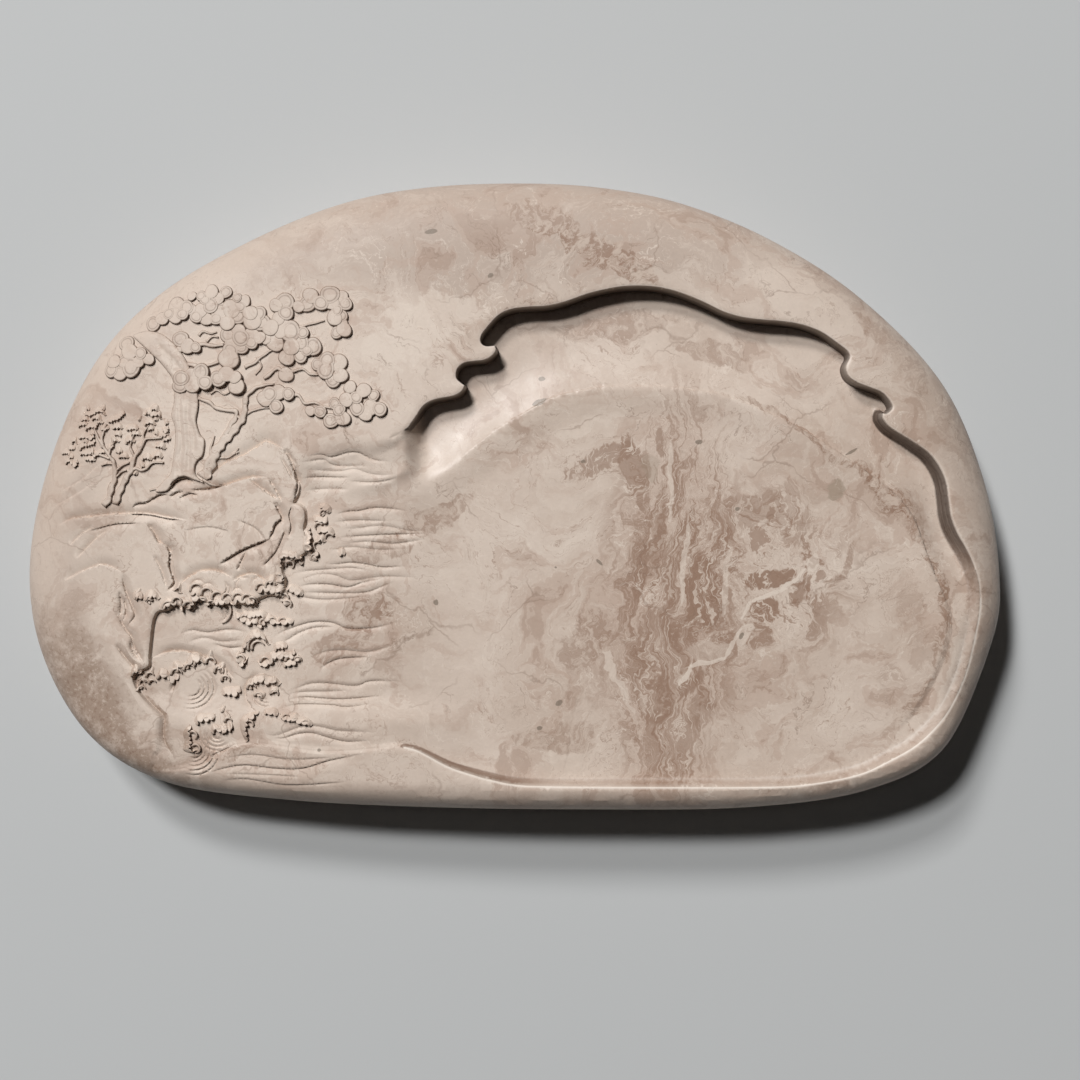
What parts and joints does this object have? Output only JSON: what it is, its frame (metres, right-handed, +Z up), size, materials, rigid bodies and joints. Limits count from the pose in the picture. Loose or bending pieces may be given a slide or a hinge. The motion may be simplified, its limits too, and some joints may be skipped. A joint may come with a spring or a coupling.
{
  "type": "inkstone",
  "caption": "Carved stone inkstone: a half-oval slab with a crescent ink pool, a wide grinding hall and a pine, rock and wave scene in low relief.",
  "frame": {"origin": "centre of the flat base, on the surface that the stone rests on", "axes": "+Z up, +X along the length towards the far end of the ink pool, +Y towards the bank above the pool"},
  "size_m": [0.26, 0.1668, 0.0342],
  "materials": {
    "stone": "satin"
  },
  "bodies": {
    "root": {"big_wave": "stone", "boulder": "stone", "left_foam_rings": "stone", "left_rock": "stone", "left_spray": "stone", "low_left_foam": "stone", "low_right_foam": "stone", "low_swell": "stone", "lower_ripples": "stone", "middle_foam": "stone", "middle_ripples": "stone", "peak_rock": "stone", "pine_leaves_centre": "stone", "pine_leaves_crown": "stone", "pine_leaves_far_right": "stone", "pine_leaves_front": "stone", "pine_leaves_left_lobe": "stone", "pine_leaves_left_sprig": "stone", "pine_leaves_low_left": "stone", "pine_leaves_lower_middle": "stone", "pine_leaves_right": "stone", "pine_leaves_top_right": "stone", "pine_leaves_upper_right": "stone", "pine_lower_branches": "stone", "pine_second_trunk": "stone", "pine_trunk": "stone", "pine_upper_branches": "stone", "round_wave": "stone", "shell_foam": "stone", "shore_foam": "stone", "shore_ledge": "stone", "shore_shrub": "stone", "small_tree_left_leaves": "stone", "small_tree_right_leaves": "stone", "small_tree_trunks": "stone", "stone_body": "stone", "upper_ripples": "stone", "upper_wave_crest": "stone", "upper_wave_curl": "stone"}
  },
  "joints": []
}
